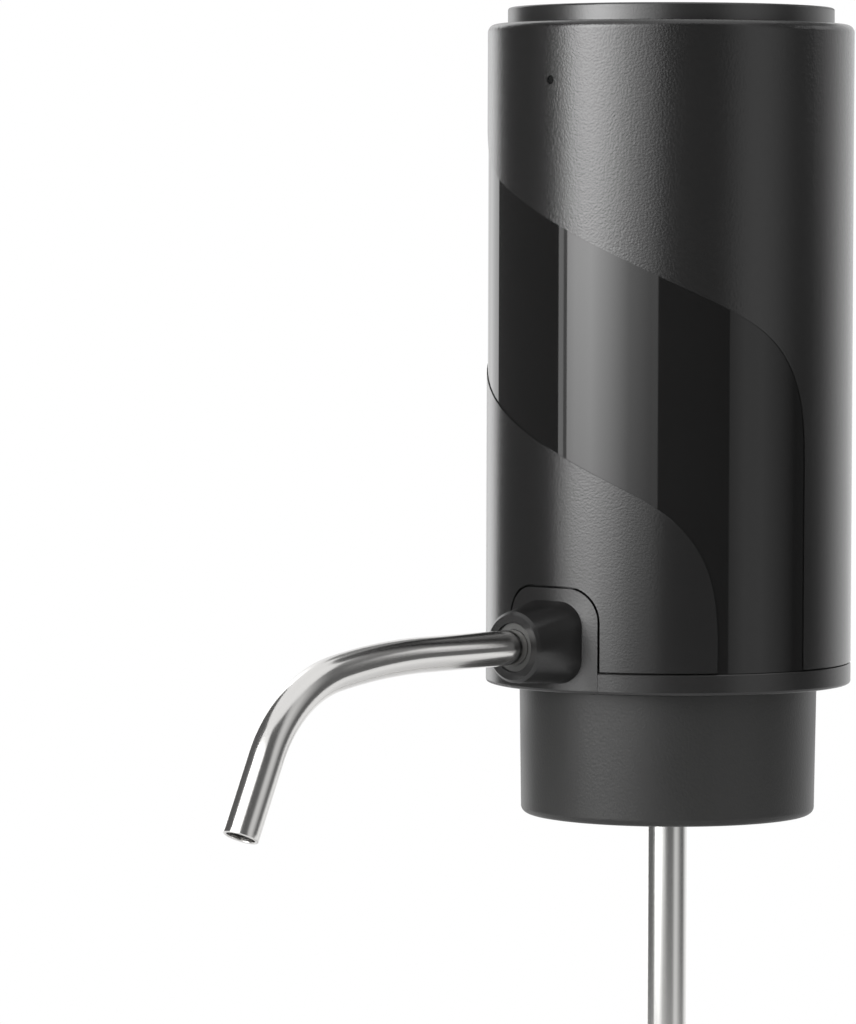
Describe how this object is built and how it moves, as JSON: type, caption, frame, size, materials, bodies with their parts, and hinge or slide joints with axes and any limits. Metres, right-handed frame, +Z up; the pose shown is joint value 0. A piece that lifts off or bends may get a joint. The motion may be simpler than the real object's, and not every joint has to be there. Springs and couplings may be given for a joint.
{
  "type": "electric wine dispenser",
  "caption": "Battery-driven wine dispenser that plugs into a bottle, with a press-disc button, a bent steel spout that swivels and a telescopic dip tube.",
  "frame": {"origin": "on the bottle's axis, in the plane where the bottle's lip meets the stopper's flange", "axes": "+Z up along the bottle's axis towards the button, -Y towards the front, where the spout leaves the body, +X to the right of someone who faces the back"},
  "size_m": [0.055, 0.1222, 0.2729],
  "materials": {
    "shell_matt": "satin",
    "button_matt": "satin",
    "base_matt": "satin",
    "collar_silicone": "matte",
    "silicone": "matte",
    "hose_silicone": "matte",
    "spout_steel": "polished",
    "dip_steel": "satin",
    "spring_steel": "satin",
    "screw_steel": "satin",
    "motor_steel": "satin",
    "armature_steel": "matte",
    "magnet": "matte",
    "port_steel": "satin",
    "nickel": "satin",
    "contact_brass": "satin",
    "inner_plastic": "matte",
    "pump_plastic": "matte",
    "valve_plastic": "satin",
    "switch_body": "matte",
    "switch_stem": "satin",
    "circuit_board": "gloss",
    "chip_black": "matte",
    "led_lens": "gloss",
    "clear_pipe": "gloss",
    "cell_wrap": "gloss",
    "foam": "matte",
    "lead_red": "satin",
    "lead_white": "satin"
  },
  "bodies": {
    "housing": {"outer_shell": "shell_matt", "return_spring": "spring_steel", "tact_switch": "switch_body", "button_board": "circuit_board", "board_screws": "screw_steel", "status_led": "led_lens", "light_pipe": "clear_pipe", "base_cover": "base_matt", "base_seal": "silicone", "base_screws": "screw_steel", "neck_collar": "collar_silicone", "neck_stopper": "collar_silicone", "stopper_core": "inner_plastic", "flow_block": "inner_plastic", "air_hose": "hose_silicone", "check_valve": "valve_plastic", "spout_housing": "base_matt", "spout_bush": "silicone", "spout_seals": "silicone", "dip_tube_seal": "silicone", "dip_tube_upper": "dip_steel", "dip_tube_gland": "inner_plastic", "inner_frame": "inner_plastic", "pump_screws": "screw_steel", "pump_cover": "pump_plastic", "valve_plate": "pump_plastic", "pump_diaphragm": "silicone", "pump_case": "pump_plastic", "wobble_plate": "valve_plastic", "motor_can": "motor_steel", "motor_magnets": "magnet", "motor_end_cap": "pump_plastic", "motor_terminals": "contact_brass", "motor_damper": "foam", "motor_leads": "lead_red", "battery_cell": "cell_wrap", "battery_tabs": "nickel", "battery_pad": "foam", "battery_lead": "lead_red", "main_board": "circuit_board", "board_parts": "chip_black", "signal_leads": "lead_white", "charge_port": "port_steel", "charge_tongue": "chip_black"},
    "button": {"top_button": "button_matt", "switch_stem": "switch_stem"},
    "spout": {"spout_tube": "spout_steel"},
    "sliding_tube": {"dip_tube_lower": "dip_steel", "dip_tube_foot": "silicone"},
    "rotor": {"drive_crank": "valve_plastic", "drive_shaft": "screw_steel", "motor_armature": "armature_steel"}
  },
  "joints": [
    {"name": "button_press", "type": "slide", "parent": "housing", "child": "button", "axis": [0, 0, -1], "range_m": [0, 0.0008], "stiffness_N_per_m": 1500, "springref_m": -0.001, "deforming": ["return_spring"]},
    {"name": "spout_swivel", "type": "hinge", "parent": "housing", "child": "spout", "pos_m": [0, -0.0355, 0.01185], "axis": [0, -1, 0], "continuous": true},
    {"name": "dip_tube_extend", "type": "slide", "parent": "housing", "child": "sliding_tube", "axis": [0, 0, -1], "range_m": [0, 0.125]},
    {"name": "rotor_spin", "type": "hinge", "parent": "housing", "child": "rotor", "pos_m": [-0.0112, 0, 0.045], "axis": [0, 0, 1], "continuous": true}
  ]
}
